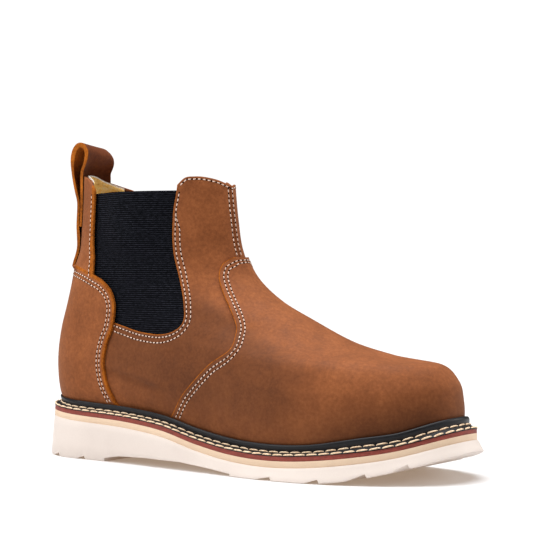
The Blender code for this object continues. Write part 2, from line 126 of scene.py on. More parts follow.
# Rough lengths of one rise and of one turn, by which an edge's points are spaced
RISE_LENGTH = 13
TURN_LENGTH = 650

# Rows set in from a panel's cut edge, which keep it crisp
VAMP_INSETS = (-0.55, -1.6)
COUNTER_INSETS = (0.9, 1.9)
QUARTER_INSETS = (-0.5, -1.3)

# Seam up the front, and the collar of the inner side
SEAM = 0.482
SEAM_GAP = 0.0012
TONGUE_SIDE = 0.462
INNER_TOP = 176.2
INNER_DIP = 3.1
INNER_FALL = 33.0
INNER_CURVE = 0.742

Ring = namedtuple(
    "Ring", "back_x back_z front_x front_z bow heel waist ball cap_back cap_front nose")
LAST = [
    Ring(8.4, 33.6, 290.0, 26.4, 1.00, 27.3, 31.0, 42.8, 33, 90, 2.15),
    Ring(5.5, 42.0, 290.9, 34.0, 0.95, 29.6, 33.5, 45.0, 35, 90, 2.15),
    Ring(3.7, 54.0, 290.6, 44.5, 0.80, 31.0, 35.5, 46.0, 37, 97, 2.15),
    Ring(3.7, 67.0, 288.3, 55.3, 0.60, 31.3, 36.5, 45.2, 38, 108, 2.15),
    Ring(6.0, 82.0, 278.8, 65.2, 0.40, 30.5, 36.3, 43.2, 38, 130, 2.15),
    Ring(9.9, 97.0, 255.0, 68.2, 0.20, 29.0, 35.5, 41.0, 38, 160, 2.10),
    Ring(13.1, 110.0, 226.5, 74.6, 0.10, 27.5, 35.0, 38.6, 36, 165, 2.05),
    Ring(15.5, 122.0, 197.2, 86.1, 0.00, 26.0, 34.6, 36.8, 35, 146, 2.00),
    Ring(19.2, 133.0, 172.8, 97.8, 0.00, 23.5, 34.0, 35.4, 34, 122, 1.90),
    Ring(20.0, 143.0, 153.5, 113.0, 0.00, 21.8, 33.4, 34.4, 33, 94, 1.78),
    Ring(20.3, 154.0, 143.6, 131.0, 0.00, 20.4, 33.0, 33.6, 32, 70, 1.66),
    Ring(20.5, 166.0, 139.8, 151.0, 0.00, 19.2, 32.6, 33.0, 30, 56, 1.60),
    Ring(20.7, 182.0, 137.4, 174.0, 0.00, 18.5, 32.4, 32.6, 28, 51, 1.60),
    Ring(20.9, 196.0, 136.8, 194.0, 0.00, 18.2, 32.4, 32.6, 28, 51, 1.60),
]
TOP_RISE = len(LAST) - 1
# Where along a ring its heel, waist and ball half-widths are measured
WIDTH_REACH = (0.0, 0.15, 0.43, 0.68, 1.0)

Station = namedtuple("Station", "x z")
SOLE_LINE = [
    Station(0, 30.2), Station(45, 27.5), Station(88, 25.5), Station(116, 22.6), Station(144, 16.6),
    Station(171, 12.6), Station(200, 11.3), Station(225, 12.4), Station(250, 15.2),
    Station(275, 19.7), Station(300, 27.6),
]
ARCH = [
    Station(66.0, -4), Station(66.5, 2.2), Station(80, 4.2), Station(102, 5.0), Station(133, 5.0),
    Station(155, 3.4), Station(174.5, 1.5), Station(175.0, -4),
]
Groove = namedtuple("Groove", "x length")
GROOVES = [
    Groove(16, 9), Groove(41, 9), Groove(192.5, 13.5), Groove(226, 10.5), Groove(250.5, 12),
    Groove(273, 10),
]
# Outsole's side from its top down: shares of the height and of the flare, and the tuck at the bottom
Wall = namedtuple("Wall", "down out tuck")
SIDE_WALL = [
    Wall(0, 0.15, 0), Wall(0.2, 0.33, 0), Wall(0.4, 0.50, 0), Wall(0.62, 0.72, 0), Wall(0.94, 1, 0),
    Wall(1, 1, EDGE_TUCK),
]

# Panel edges, each from the sole upwards: a rise, and the share of the ring from heel to toe
Edge = namedtuple("Edge", "rise reach")
VAMP_EDGE = [
    Edge(0.0, 0.372), Edge(0.86, 0.402), Edge(2.2, 0.447), Edge(3.6, 0.524), Edge(4.49, 0.605),
    Edge(5.47, 0.667), Edge(6.3, 0.727), Edge(7.6, 0.806), Edge(8.31, 0.847), Edge(9.01, 0.891),
    Edge(9.42, 0.925), Edge(9.69, 0.964), Edge(9.79, 1.0),
]
COUNTER_EDGE = [
    Edge(0.0, 0.247), Edge(0.73, 0.226), Edge(1.23, 0.219), Edge(1.73, 0.210), Edge(2.7, 0.202),
    Edge(3.3, 0.204), Edge(3.8, 0.211), Edge(4.3, 0.224), Edge(4.84, 0.234), Edge(5.45, 0.246),
    Edge(6.0, 0.254), Edge(6.5, 0.252), Edge(6.87, 0.225), Edge(7.05, 0.181), Edge(7.17, 0.125),
    Edge(7.2, 0.05), Edge(7.2, 0.0),
]
BACK_STRIP_EDGE = [
    Edge(7.0, 0.174), Edge(8.51, 0.170), Edge(9.54, 0.178), Edge(10.57, 0.183), Edge(11.3, 0.185),
]

# Quarter: its edge round the gore from under the counter to the collar, and its far edge, which runs
# along the sole, under the vamp and up the front seam
Quarter = namedtuple("Quarter", "rise reach far_rise far_reach")
QUARTER_EDGE = [
    Quarter(5.00, 0.165, 0.0, 0.100), Quarter(4.73, 0.230, 0.0, 0.165),
    Quarter(4.61, 0.271, 0.0, 0.215), Quarter(4.51, 0.308, 0.0, 0.258),
    Quarter(4.50, 0.345, 0.0, 0.300), Quarter(4.56, 0.384, 0.0, 0.345),
    Quarter(4.73, 0.417, 0.0, 0.385), Quarter(5.03, 0.453, 0.3, 0.425),
    Quarter(5.41, 0.487, 1.3, 0.470), Quarter(5.93, 0.525, 2.6, 0.540),
    Quarter(6.39, 0.554, 3.6, 0.600), Quarter(6.96, 0.591, 4.6, 0.680),
    Quarter(8.01, 0.650, 6.3, 0.800), Quarter(8.97, 0.701, 7.9, 0.900),
    Quarter(9.67, 0.721, 9.0, 1.0), Quarter(10.36, 0.741, 10.0, 1.0),
    Quarter(11.07, 0.760, 10.8, 1.0), Quarter(11.64, 0.785, 11.5, 1.0),
    Quarter(11.81, 0.790, 11.9, 1.0),
]
GORE_FRONT = [Edge(4.0, 0.384), Edge(4.56, 0.388)]
GORE_FRONT += [Edge(row.rise, row.reach) for row in QUARTER_EDGE[6:-1]]
GORE_FOOT = 4.1
GORE_HEAD = 11.2
GORE_TOP = 169.0
GORE_LAP = 0.028
GORE_REAR = 0.135
# How far the lining keeps from the elastic, in turns and in reach, and how high it follows its edge
HEEL_CLEAR = 0.002
FRONT_CLEAR = 0.006
FRONT_HEAD = 11.5

Collar = namedtuple("Collar", "reach z")
COLLAR = [
    Collar(0.0, 181.5), Collar(0.06, 180.5), Collar(0.12, 177.5), Collar(0.161, 174.0),
    Collar(0.19, 170.5), Collar(0.5, 170.0), Collar(0.775, 170.5), Collar(0.801, 173.8),
    Collar(0.822, 176.3), Collar(0.872, 177.6), Collar(0.925, 177.0), Collar(0.973, 174.8),
    Collar(1.0, 172.2),
]

# Welt's bead: a rise, and how far it stands out from the overlays
Bead = namedtuple("Bead", "rise out")
BEAD = [Bead(0.34, 0), Bead(0.64, 0.1), Bead(0.74, 0.8), Bead(0.73, 1.7), Bead(0.6, 2.4), Bead(0.3, 2.7)]
# Welt's flange: shares of the way to its edge, and how far it is hollowed there
Hollow = namedtuple("Hollow", "share sink")
FLANGE_HOLLOW = [
    Hollow(0.05, 0.1), Hollow(0.14, 0.1), Hollow(0.24, 0.05), Hollow(0.5, 0), Hollow(0.8, 0),
    Hollow(0.95, 0.03),
]

Fold = namedtuple("Fold", "inward z")
LOOP = [
    Fold(-3.1, 122.0), Fold(-3.6, 137), Fold(-4.8, 149), Fold(-4.8, 161.5), Fold(-5.2, 166.2),
    Fold(-6.5, 171.4), Fold(-7.9, 177.9), Fold(-9.0, 184.5), Fold(-9.5, 190.3), Fold(-8.5, 195.9),
    Fold(-6.4, 199.4), Fold(-4.3, 200.3), Fold(-2.0, 199.1), Fold(0.1, 196.1), Fold(0.4, 192.6),
    Fold(-0.9, 188.5), Fold(-2.7, 184.5), Fold(-3.0, 180), Fold(-2.9, 171), Fold(-2.9, 149),
]

# Soft troughs and ridges in the leather, from one place on the boot to another, on both sides
Crease = namedtuple("Crease", "start middle end depth width")
CREASES = [
    Crease(Edge(2.40, 0.201), Edge(2.16, 0.285), Edge(1.84, 0.390), -1.3, 2.4),
    Crease(Edge(2.75, 0.205), Edge(2.50, 0.285), Edge(2.15, 0.390), 1.3, 3.2),
    Crease(Edge(1.75, 0.200), Edge(1.50, 0.290), Edge(1.20, 0.392), 0.7, 5.5),
    Crease(Edge(2.95, 0.230), Edge(2.85, 0.300), Edge(2.55, 0.400), 0.35, 7.0),
    Crease(Edge(6.2, 0.62), Edge(5.4, 0.58), Edge(4.6, 0.50), -0.35, 6.0),
    Crease(Edge(8.9, 0.80), Edge(7.9, 0.76), Edge(7.0, 0.70), -0.35, 6.0),
    Crease(Edge(10.15, 0.9968), Edge(11.0, 0.9968), Edge(12.2, 0.9968), -0.45, 1.2),
]
SWELL = 0.22
SWELL_LENGTH = 31.0

# Threads, dark spots of painted shade at the needle holes, and how far each row of stitches lies from
# its panel's edge. A quarter's row also has the share of the edge at which it ends.
Thread = namedtuple("Thread", "length width height twist segments rings")
STITCH = Thread(2.0, 0.72, 0.62, 0.0, 8, 7)
HOLE_SHADE = Thread(1.45, 1.10, 0.22, 0.0, 8, 4)
WELT_STITCH = Thread(6.6, 1.05, 0.95, 0.06, 12, 15)
STITCH_PITCH = 3.0
STITCH_LIFT = 0.02
WELT_PITCH = 7.4
WELT_LIFT = 0.30
SLANT = 0.06
UNEVEN = 0.05
VAMP_ROWS = (3.1, 5.8)
COUNTER_ROWS = (3.9, 6.4)
QUARTER_ROW = 1.9
QUARTER_ROWS = ((QUARTER_ROW, 0.985), (4.9, 0.93))
COLLAR_ROW = 1.7
SEAM_ROW = 1.6
STRIP_ROW = 4.0
ROW_FOOT = 0.75
SEAM_FOOT = 9.85
QUARTER_ROW_START = 0.222

# Camera: its side angle and aim in degrees, its height in metres, and the photograph's own focal
# length and width in pixels
CAMERA_SIDE = 36
CAMERA_AIM = 35.44
CAMERA_HEIGHT = 0.122
FOCAL_PIXELS = 1624
PHOTO_PIXELS = 533
SENSOR = 36


def smooth_through(knots, values, at):
    """Smooth curve through the values at the knots, carried on straight beyond the ends."""
    knots, values, at = (np.asarray(part, float) for part in (knots, values, at))
    step = np.diff(knots)
    slope = np.diff(values) / step
    tangent = np.empty_like(values)
    tangent[0], tangent[-1] = slope[0], slope[-1]
    tangent[1:-1] = (slope[:-1] * step[1:] + slope[1:] * step[:-1]) / (step[1:] + step[:-1])
    i = np.clip(np.searchsorted(knots, at, side="right") - 1, 0, len(knots) - 2)
    along = (at - knots[i]) / step[i]
    q = np.clip(along, 0, 1)
    start = (1 - q) ** 2 * ((1 + 2 * q) * values[i] + q * step[i] * tangent[i])
    end = q ** 2 * ((3 - 2 * q) * values[i + 1] + (q - 1) * step[i] * tangent[i + 1])
    before = np.minimum(along, 0) * step[i] * tangent[i]
    after = np.maximum(along - 1, 0) * step[i] * tangent[i + 1]
    return start + end + before + after


def ramp(start, end, at):
    q = np.clip((np.asarray(at, float) - start) / (end - start), 0, 1)
    return q * q * (3 - 2 * q)


def table_value(table, key, column, at):
    return smooth_through([getattr(row, key) for row in table],
                          [getattr(row, column) for row in table], at)


def row_value(table, column, at):
    """Smooth value of a table's column, with the rows numbered from 0."""
    return smooth_through(range(len(table)), [getattr(row, column) for row in table], at)


def sole_top(x):
    return table_value(SOLE_LINE, "x", "z", x) + MIDSOLE


def sole_bow(x):
    first = LAST[0]
    share = (x - first.back_x) / (first.front_x - first.back_x)
    return sole_top(x) + GAP - (first.back_z + (first.front_z - first.back_z) * share)


def centre_line(x, waist_share):
    waist = np.exp(-((x - WAIST_AT) / WAIST_SPREAD) ** 2)
    return TOE_SWING * ramp(SWING_START, SWING_END, x) + waist_share * WAIST_SHIFT * waist


def half_width(reach, rise):
    heel, waist, ball = (row_value(LAST, column, rise) for column in ("heel", "waist", "ball"))
    total = 0
    for width, weight in zip((heel, heel, waist, ball, ball), np.eye(len(WIDTH_REACH))):
        total = total + width * smooth_through(WIDTH_REACH, weight, reach)
    return total


def last_point(turn, rise):
    """The last's surface: each ring is a tilted loop with a round heel and a tapered front."""
    turn, rise = np.broadcast_arrays(np.asarray(turn, float), np.asarray(rise, float))
    angle = 2 * np.pi * turn
    reach = (1 - np.cos(angle)) / 2
    side = np.where(np.sin(angle) >= 0, -1.0, 1.0)
    back_x, back_z, front_x, front_z, bow, cap_back, cap_front, nose = (
        row_value(LAST, column, rise) for column in
        ("back_x", "back_z", "front_x", "front_z", "bow", "cap_back", "cap_front", "nose"))
    x = back_x + (front_x - back_x) * reach
    z = back_z + (front_z - back_z) * reach + bow * sole_bow(x)
    heel_end = np.clip(1 - (x - back_x) / cap_back, 0, 1)
    toe_end = np.clip(1 - (front_x - x) / cap_front, 0, 1)
    closing = np.sqrt(1 - heel_end ** 2) * (1 - toe_end ** nose) ** (1 / nose)
    y = centre_line(x, bow) + side * half_width(reach, rise) * closing
    return np.stack([x, y, z], -1)


def slopes(turn, rise):
    along = last_point(turn + PROBE, rise) - last_point(turn - PROBE, rise)
    up = last_point(turn, rise + PROBE) - last_point(turn, rise - PROBE)
    return along / (2 * PROBE), up / (2 * PROBE)


def unit(vectors):
    return vectors / np.maximum(np.linalg.norm(vectors, axis=-1, keepdims=True), 1e-12)


def outward(turn, rise):
    along, up = slopes(np.asarray(turn, float), np.asarray(rise, float))
    return unit(np.cross(along, up))


def lifted(turn, rise, lift):
    """Points at a lift above the last."""
    return last_point(turn, rise) + outward(turn, rise) * np.asarray(lift, float)[..., None]


def turn_at(reach):
    return np.arccos(1 - 2 * np.clip(np.asarray(reach, float), 0, 1)) / (2 * np.pi)


def reach_at(turn):
    return (1 - np.cos(2 * np.pi * np.asarray(turn))) / 2


def turns_round(count=ROUND_COUNT):
    even = np.arange(count) / count
    return even + EVENING * np.sin(4 * np.pi * even) / (4 * np.pi)


def rise_at_height(turn, height):
    rises = np.linspace(SHAFT_RISE, TOP_RISE, 141)
    turn, height = np.broadcast_arrays(np.asarray(turn, float), np.asarray(height, float))
    found = [np.interp(h, last_point(t, rises)[:, 2], rises)
             for t, h in zip(turn.ravel(), height.ravel())]
    return np.reshape(found, turn.shape)


def collar_rise(turn):
    """Rise of the collar's edge, which on the inner side falls straighter from the back and dips sooner
    to the front seam."""
    reach = reach_at(turn)
    height = table_value(COLLAR, "reach", "z", reach)
    inner = np.where(reach > 0.5, INNER_TOP - INNER_DIP * ramp(0.80, 0.90, reach),
                     COLLAR[0].z - INNER_FALL * reach ** INNER_CURVE)
    inner = np.minimum(height, inner)
    return rise_at_height(turn, np.where(np.mod(turn, 1.0) > 0.5, inner, height))


def climbing(foot, top, rows):
    """Rises of a grid from a level foot to its top edge."""
    return foot + (top - foot) * np.linspace(0, 1, rows)[:, None]


def overlay_top(rise):
    return GAP + LEATHER * (SKIVE + (1 - SKIVE) * ramp(0, SKIVE_RISE, rise))


def crease_lift(points):
    """How far the leather sinks or swells at these places on the last."""
    lift = SWELL * np.sin(points[..., 0] / SWELL_LENGTH * 2.1 + points[..., 2] / SWELL_LENGTH)
    lift = lift * np.sin(points[..., 2] / SWELL_LENGTH * 1.7 + points[..., 1] / SWELL_LENGTH + 1)
    step = np.linspace(0, 2, 25)
    fade = np.sin(np.pi * (step / 2 * 0.9 + 0.05)) ** 0.7
    for crease in CREASES:
        places = (crease.start, crease.middle, crease.end)
        rises, turns = row_value(places, "rise", step), turn_at(row_value(places, "reach", step))
        for side in (turns, 1 - turns):
            line = last_point(side, rises)
            away = np.linalg.norm(points[..., None, :] - line, axis=-1)
            pull = np.exp(-(away / crease.width) ** 2) * fade
            lift = lift + crease.depth * pull.max(axis=-1)
    return lift


def hide_point(turn, rise, lift):
    """Point on the leather's surface at a lift above the last, creases and all."""
    return lifted(turn, rise, np.asarray(lift, float) + crease_lift(last_point(turn, rise)))


def inset_line(turns, rises, distance):
    """Line on the last beside another one, to its left as seen from outside."""
    tangent = unit(np.gradient(last_point(turns, rises), axis=0))
    sideways = np.cross(outward(turns, rises), tangent) * distance
    along, up = slopes(turns, rises)
    aa, ab, bb = ((p * q).sum(-1) for p, q in ((along, along), (along, up), (up, up)))
    sa, sb = (along * sideways).sum(-1), (up * sideways).sum(-1)
    det = aa * bb - ab * ab
    return turns + (sa * bb - sb * ab) / det, rises + (sb * aa - sa * ab) / det


def edge_knots(table):
    """Turns and rises of an edge's rows, and how far along the edge each row lies."""
    rises = np.array([row.rise for row in table])
    turns = turn_at([row.reach for row in table])
    run = np.hypot(np.diff(rises) * RISE_LENGTH, np.diff(turns) * TURN_LENGTH)
    return turns, rises, np.concatenate([[0], np.cumsum(np.maximum(run, 0.5))])


def edge_line(table, count):
    """Turns and rises along a panel's edge on the outer side, evenly spaced along the edge."""
    turns, rises, knots = edge_knots(table)
    at = np.linspace(0, knots[-1], count)
    return smooth_through(knots, turns, at), smooth_through(knots, rises, at)


def edge_lines(edge, insets):
    return [edge] + [inset_line(*edge, distance) for distance in insets]


# Meshes

def to_metres(points):
    return (np.asarray(points) - ORIGIN) * MM


def add_primitive(name, add, **sizes):
    bpy.ops.object.select_all(action="DESELECT")
    add(**sizes)
    piece = bpy.context.object
    piece.name = piece.data.name = name
    return piece


def lay(piece, points):
    piece.data.vertices.foreach_set("co", to_metres(points).ravel())
    piece.data.update()
    return piece


def edit_all(operator, **values):
    """One operator on a whole mesh in edit mode."""
    bpy.ops.object.mode_set(mode="EDIT")
    bpy.ops.mesh.select_all(action="SELECT")
    operator(**values)
    bpy.ops.object.mode_set(mode="OBJECT")


def select_only(piece):
    bpy.ops.object.select_all(action="DESELECT")
    piece.select_set(True)
    bpy.context.view_layer.objects.active = piece


def modify(piece, kind, **values):
    """Adds a modifier to a piece and applies it."""
    modifier = piece.modifiers.new(kind.lower(), kind)
    for name, value in values.items():
        setattr(modifier, name, value)
    bpy.context.view_layer.objects.active = piece
    bpy.ops.object.modifier_apply(modifier=modifier.name)


def round_edges(piece, width, angle=50):
    modify(piece, "BEVEL", width=width * MM, segments=2, limit_method="ANGLE", angle_limit=np.radians(angle))


def smooth_shade(piece, angle=45):
    select_only(piece)
    bpy.ops.object.shade_smooth_by_angle(angle=np.radians(angle))


def paint(piece, *finishes):
    piece.data.materials.clear()
    for finish in finishes:
        piece.data.materials.append(finish)


def place(piece, slot, *nodes):
    """Sets a finished piece on the boot and hides the solids it stands for. The slot is not used."""
    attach(piece, "root")
    if nodes:
        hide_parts(*nodes)


def leather_panel(name, points, thickness, finishes, raw=None, bevel=0.35, painted_shade=None):
    """Panel of leather laid on its points, with its thickness below them and its cut edges rounded.

    raw marks the faces, as an array of rows and columns, that show the cut edge's colour, and the last
    argument says how far each point is darkened by painted shade.
    """
    rows, columns = points.shape[:2]
    piece = lay(add_primitive(name, bpy.ops.mesh.primitive_grid_add, x_subdivisions=columns - 1,
                              y_subdivisions=rows - 1), points)
    paint(piece, *finishes)
    # Painted shade: how far each point is darkened, read by the leather's finish
    if painted_shade is not None:
        mark = piece.data.attributes.new("painted_shade", "FLOAT", "POINT")
        mark.data.foreach_set("value", painted_shade.ravel())
    if raw is not None:
        piece.data.polygons.foreach_set("material_index", raw.astype(np.int32).ravel())
    edit_all(bpy.ops.mesh.remove_doubles, threshold=1e-6)
    modify(piece, "SOLIDIFY", thickness=thickness * MM, offset=-1)
    round_edges(piece, bevel)
    smooth_shade(piece)
    return piece


def edge_faces(points, left=0, right=0):
    """Marks of the faces that border a grid's left and right edges, so many deep."""
    column = np.arange(points.shape[1] - 1)
    marks = (column < left) | (column >= len(column) - right)
    return np.tile(marks, (points.shape[0] - 1, 1))


def body_of(name, points, faces):
    mesh = bpy.data.meshes.new(name)
    mesh.from_pydata(to_metres(points).tolist(), [], faces)
    work = bmesh.new()
    work.from_mesh(mesh)
    bmesh.ops.recalc_face_normals(work, faces=work.faces)
    work.to_mesh(mesh)
    work.free()
    piece = bpy.data.objects.new(name, mesh)
    bpy.context.scene.collection.objects.link(piece)
    select_only(piece)
    return piece


def ring_body(name, rings):
    """Closed body from rings of points listed from the top down, filled across rung by rung."""
    levels, count = rings.shape[:2]
    index = np.arange(levels * count).reshape(levels, count)
    after = np.roll(index, -1, axis=1)
    faces = np.stack([index[1:], after[1:], after[:-1], index[:-1]], -1).reshape(-1, 4).tolist()
    for ring, flip in ((index[0].tolist(), True), (index[-1].tolist(), False)):
        for k in range(count // 2):
            rung = [ring[k], ring[k + 1], ring[(count - k - 1) % count], ring[(count - k) % count]]
            rung = list(dict.fromkeys(rung))
            faces.append(rung[::-1] if flip else rung)
    return body_of(name, rings.reshape(-1, 3), faces)


# Finishes

# How dark the painted shade gets, as a share of the leather's darkest tone
PAINTED_SHADE_DEPTH = 0.16


class Finish:
    """A material in the making: its nodes, its shader and the patterns that they are given."""

    def __init__(self, name, roughness, specular):
        self.material = bpy.data.materials.new(name)
        self.material.use_nodes = True
        self.tree = self.material.node_tree
        self.shader = self.tree.nodes["Principled BSDF"]
        self.settle({"Roughness": roughness, "Specular IOR Level": specular})
        self.at = self.spot()

    def settle(self, values):
        for socket, value in values.items():
            self.shader.inputs[socket].default_value = value

    def give(self, socket, output):
        self.tree.links.new(output, self.shader.inputs[socket])

    def node(self, kind, wired, values=(), **settings):
        """New node, with its settings made, values on its inputs and outputs wired to them."""
        node = self.tree.nodes.new("ShaderNode" + kind)
        for name, setting in settings.items():
            setattr(node, name, setting)
        for socket, value in dict(values).items():
            node.inputs[socket].default_value = value
        for socket, output in wired.items():
            self.tree.links.new(output, node.inputs[socket])
        return node

    def spot(self, stretch=(1, 1, 1)):
        coordinates = self.node("TexCoord", {})
        return self.node("Mapping", {"Vector": coordinates.outputs["Object"]},
                         {"Scale": stretch}).outputs["Vector"]

    def noise(self, scale, detail=3, roughness=0.55, distortion=0.0, stretch=None):
        at = self.spot(stretch) if stretch else self.at
        values = {"Scale": scale, "Detail": detail, "Roughness": roughness, "Distortion": distortion}
        return self.node("TexNoise", {"Vector": at}, values).outputs["Fac"]

    def blend(self, first, second, share):
        """First value with a share of the second one in it."""
        return self.node("Mix", {"A": first, "B": second}, {"Factor": share}).outputs["Result"]

    def tones(self, value, *stops):
        node = self.node("ValToRGB", {"Fac": value})
        elements = node.color_ramp.elements
        while len(elements) < len(stops):
            elements.new(0.5)
        for element, (position, colour) in zip(elements, stops):
            element.position = position
            element.color = (*colour, 1)
        return node.outputs["Color"]

    def colour(self, value, *stops):
        self.give("Base Color", self.tones(value, *stops))

    def darkened(self, colour, dark):
        """Colour with painted shade: darker where a panel's points are marked for it."""
        mark = self.node("Attribute", {}, attribute_name="painted_shade")
        shade_colour = (*(PAINTED_SHADE_DEPTH * part for part in dark), 1)
        return self.node("Mix", {"Factor": mark.outputs["Fac"], "A": colour}, {"B": shade_colour},
                         data_type="RGBA").outputs["Result"]

    def roughen(self, value, low, high):
        values = {"From Min": 0.3, "From Max": 0.7, "To Min": low, "To Max": high}
        self.give("Roughness", self.node("MapRange", {"Value": value}, values).outputs["Result"])

    def bumps(self, *heights):
        """Bumps laid over each other: each a height, its strength and its depth in millimetres."""
        below = {}
        for height, strength, depth in heights:
            node = self.node("Bump", {"Height": height, **below},
                             {"Strength": strength, "Distance": depth * MM})
            below = {"Normal": node.outputs["Normal"]}
        self.give("Normal", below["Normal"])


def mottled_leather(name, dark, middle, light, roughness=0.68):
    """Oiled nubuck: soft clouds, a finer mottle, flecks and a short nap."""
    finish = Finish(name, roughness, 0.14)
    cloud, mottle = finish.noise(20, 4, 0.6, 0.6), finish.noise(110, 6, 0.65)
    fleck, nap = finish.noise(520, 4, 0.7), finish.noise(1500, 3, 0.6)
    both = finish.blend(finish.blend(cloud, mottle, 0.45), fleck, 0.38)
    colour = finish.tones(both, (0.36, dark), (0.5, middle), (0.64, light))
    # Painted shade over the leather's tones where a panel marks its points
    finish.give("Base Color", finish.darkened(colour, dark))
    finish.roughen(mottle, roughness - 0.06, roughness + 0.08)
    finish.bumps((mottle, 0.30, 0.30), (fleck, 0.35, 0.16), (nap, 0.30, 0.07))
    finish.settle({"Sheen Weight": 0.06, "Sheen Roughness": 0.45, "Sheen Tint": (1.0, 0.70, 0.48, 1)})
    return finish.material


def cut_edge(name, dark, light):
    """Raw cut edge of leather: fibres and pits."""
    finish = Finish(name, 0.85, 0.08)
    fibre = finish.noise(700, 5, 0.7)
    finish.colour(finish.blend(fibre, finish.noise(90, 3), 0.4), (0.34, dark), (0.62, light))
    finish.bumps((fibre, 0.6, 0.3))
    return finish.material


def ribbed_elastic():
    """Black elastic webbing with fine level ribs."""
    finish = Finish("ribbed_elastic", 0.9, 0.05)
    ribs = {"Scale": 1 / (1.3 * MM) / 3.18, "Distortion": 0.6, "Detail": 2, "Detail Scale": 3.0}
    rib = finish.node("TexWave", {"Vector": finish.at}, ribs, bands_direction="Z").outputs["Fac"]
    dash = finish.noise(420, 3, 0.7, stretch=(1, 1, 3.0))
    finish.colour(finish.blend(rib, dash, 0.66), (0.36, (0.0008, 0.0010, 0.0018)),
                  (0.54, (0.0034, 0.0036, 0.0056)), (0.72, (0.020, 0.021, 0.029)))
    finish.bumps((rib, 0.8, 0.35), (dash, 0.5, 0.2))
    return finish.material


def twisted_thread(name, dark, light):
    finish = Finish(name, 0.7, 0.3)
    strand = finish.noise(900, 3, 0.6)
    finish.colour(strand, (0.3, dark), (0.6, light))
    finish.bumps((strand, 0.5, 0.2))
    return finish.material


def soft_lining():
    """Golden tan lining leather, worn pale in patches."""
    finish = Finish("soft_lining", 0.7, 0.3)
    fleck = finish.noise(620, 4, 0.7)
    finish.colour(finish.blend(finish.noise(160, 5, 0.7, 0.4), fleck, 0.4),
                  (0.36, (0.60, 0.28, 0.05)), (0.48, (0.92, 0.54, 0.13)),
                  (0.56, (0.98, 0.68, 0.25)), (0.66, (0.99, 0.90, 0.66)))
    finish.bumps((fleck, 0.4, 0.2))
    return finish.material


def black_welt():
    finish = Finish("black_welt", 0.45, 0.3)
    cloud = finish.noise(60, 3)
    finish.colour(cloud, (0.3, (0.003, 0.003, 0.004)), (0.7, (0.008, 0.008, 0.011)))
    finish.roughen(cloud, 0.36, 0.52)
    finish.bumps((finish.noise(800, 4, 0.6), 0.35, 0.12))
    return finish.material


def rubber(name, dark, light, roughness):
    """Crepe-like sole rubber: nearly plain, with faint clouds and a fine tooth."""
    finish = Finish(name, roughness, 0.35)
    cloud, tooth = finish.noise(35, 4, 0.6), finish.noise(1300, 3, 0.6)
    finish.colour(finish.blend(cloud, tooth, 0.3), (0.3, dark), (0.7, light))
    finish.bumps((tooth, 0.25, 0.08), (cloud, 0.1, 0.2))
    return finish.material


def layered_edge(name, dark, light):
    """Cut and dyed edge of the leather midsole, with streaks along it."""
    finish = Finish(name, 0.6, 0.35)
    streak, speck = finish.noise(150, 5, 0.7, stretch=(1, 1, 7)), finish.noise(900, 3, 0.6)
    finish.colour(finish.blend(streak, speck, 0.35), (0.32, dark), (0.66, light))
    finish.bumps((streak, 0.4, 0.2), (speck, 0.3, 0.08))
    return finish.material


# Dark spots at the needle holes between stitches: painted shade
def painted_hole_shade():
    finish = Finish("painted_hole_shade", 0.9, 0.1)
    finish.colour(finish.noise(1500, 2), (0.3, (0.016, 0.006, 0.003)), (0.7, (0.042, 0.014, 0.006)))
    return finish.material


BROWN = mottled_leather("brown_leather", (0.155, 0.045, 0.0125), (0.230, 0.070, 0.021),
                        (0.315, 0.103, 0.033))
DARK_BROWN = mottled_leather("dark_brown_leather", (0.070, 0.015, 0.003), (0.115, 0.026, 0.006),
                             (0.175, 0.045, 0.012), 0.66)
RAW_EDGE = cut_edge("raw_leather_edge", (0.13, 0.030, 0.003), (0.42, 0.120, 0.012))
ELASTIC_BLACK = ribbed_elastic()
IVORY = twisted_thread("ivory_thread", (0.46, 0.32, 0.25), (0.80, 0.64, 0.54))
CREAM = twisted_thread("cream_thread", (0.58, 0.36, 0.21), (0.92, 0.72, 0.50))
HOLE_SHADE_FINISH = painted_hole_shade()
GOLD = soft_lining()
WHITE_TAPE = twisted_thread("white_tape", (0.72, 0.66, 0.56), (0.95, 0.92, 0.86))
WELT_BLACK = black_welt()
RED = layered_edge("red_midsole", (0.14, 0.025, 0.017), (0.33, 0.062, 0.041))
TAN = rubber("tan_rubber", (0.70, 0.51, 0.355), (0.80, 0.61, 0.44), 0.6)
OFF_WHITE = rubber("cream_rubber", (0.69, 0.605, 0.55), (0.75, 0.665, 0.605), 0.55)
SOCK = mottled_leather("tan_sock", (0.34, 0.17, 0.06), (0.46, 0.25, 0.10), (0.58, 0.34, 0.15), 0.55)


# Sole

def welt_width(turn):
    return WELT_HEEL + (WELT_TOE - WELT_HEEL) * reach_at(turn)


def sole_edge(turn, out):
    """The feather line moved outward on the flat."""
    flat = unit(outward(turn, np.zeros_like(turn)) * (1, 1, 0))
    return last_point(turn, 0) + flat * np.asarray(out)[..., None]


def level(turns, out, drop):
    """Ring round the sole at a drop below the midsole's top."""
    ring = sole_edge(turns, out)
    ring[:, 2] = sole_top(ring[:, 0]) - drop
    return ring


def toe_sink(turns):
    """How much lower the welt's edge lies round the toe."""
    return TOE_SINK * ramp(0.75, 0.95, reach_at(turns))


def make_layer(name, out, top_drop, thickness, finish, slot, node):
    rings = [level(turns_round(), out, top_drop + thickness * share) for share in (0, 0.5, 1)]
    layer = ring_body(name, np.array(rings))
    round_edges(layer, 0.25)
    smooth_shade(layer)
    paint(layer, finish)
    place(layer, slot, node)


